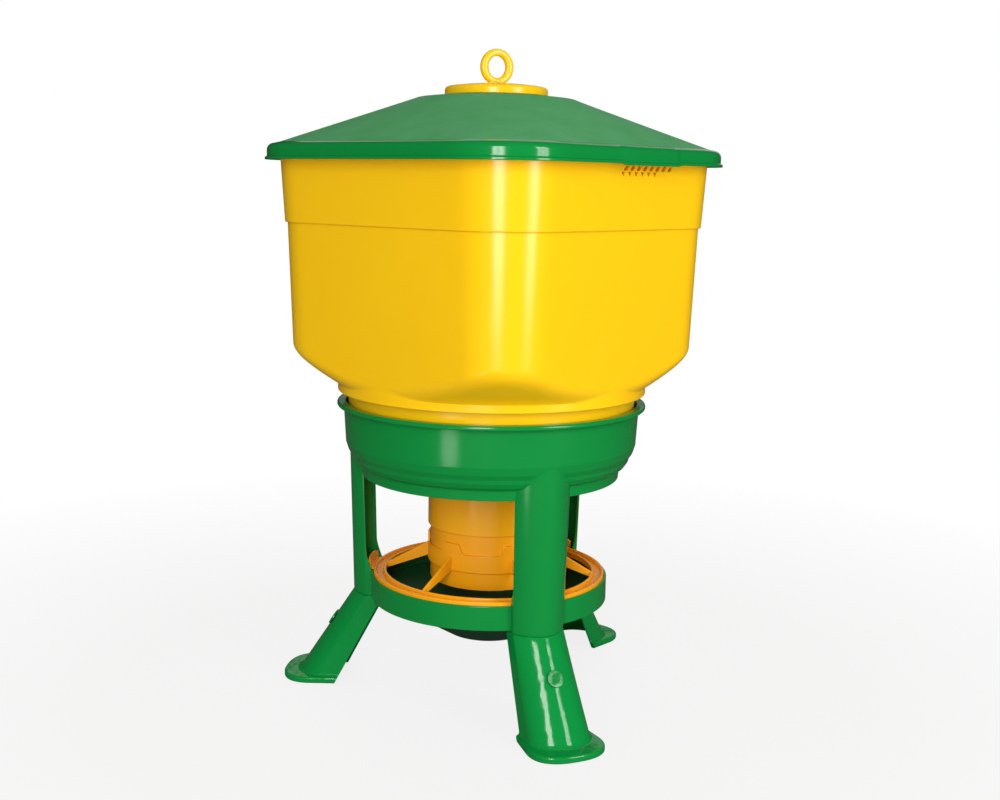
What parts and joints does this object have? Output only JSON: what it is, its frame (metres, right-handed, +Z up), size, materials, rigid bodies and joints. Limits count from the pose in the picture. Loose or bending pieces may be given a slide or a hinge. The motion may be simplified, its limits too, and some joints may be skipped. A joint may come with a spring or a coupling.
{
  "type": "poultry feeder",
  "caption": "Free-standing poultry feeder: square hopper with a lift-off lid and carrying ring, round three-legged stand, feed pan with spoked grille and an adjustable flow tube.",
  "frame": {"origin": "on the ground under the feeder's axis", "axes": "+Z up along the feeder's axis, -Y towards the front foot, +X to the right seen from the front"},
  "size_m": [0.6126, 0.6126, 0.9152],
  "materials": {
    "green": "glossy moulded polypropylene",
    "green_roof": "fine-grained roof, glossy skirt",
    "green_pan": "satin moulded polypropylene",
    "yellow": "glossy moulded polypropylene"
  },
  "bodies": {
    "base": {"stand": "green", "pan": "green_pan", "foot_front": "green", "foot_right": "green", "foot_left": "green", "foot_pin_front": "green", "foot_pin_right": "green", "foot_pin_left": "green"},
    "hopper_body": {"hopper": "yellow"},
    "lid_body": {"lid": "green_roof", "lid_eye": "yellow", "lid_eye_nut": "yellow"},
    "grille_body": {"grille": "yellow"},
    "flow_tube_body": {"flow_tube": "yellow"}
  },
  "joints": [
    {"name": "hopper_lift", "type": "slide", "parent": "base", "child": "hopper_body", "axis": [0, 0, 1], "range_m": [0, 0.073]},
    {"name": "lid_lift", "type": "slide", "parent": "hopper_body", "child": "lid_body", "axis": [0, 0, 1], "range_m": [0, 0.15]},
    {"name": "grille_lift", "type": "slide", "parent": "base", "child": "grille_body", "axis": [0, 0, 1], "range_m": [0, 0.0065]},
    {"name": "flow_tube_lift", "type": "slide", "parent": "grille_body", "child": "flow_tube_body", "axis": [0, 0, 1], "range_m": [0, 0.015]}
  ]
}
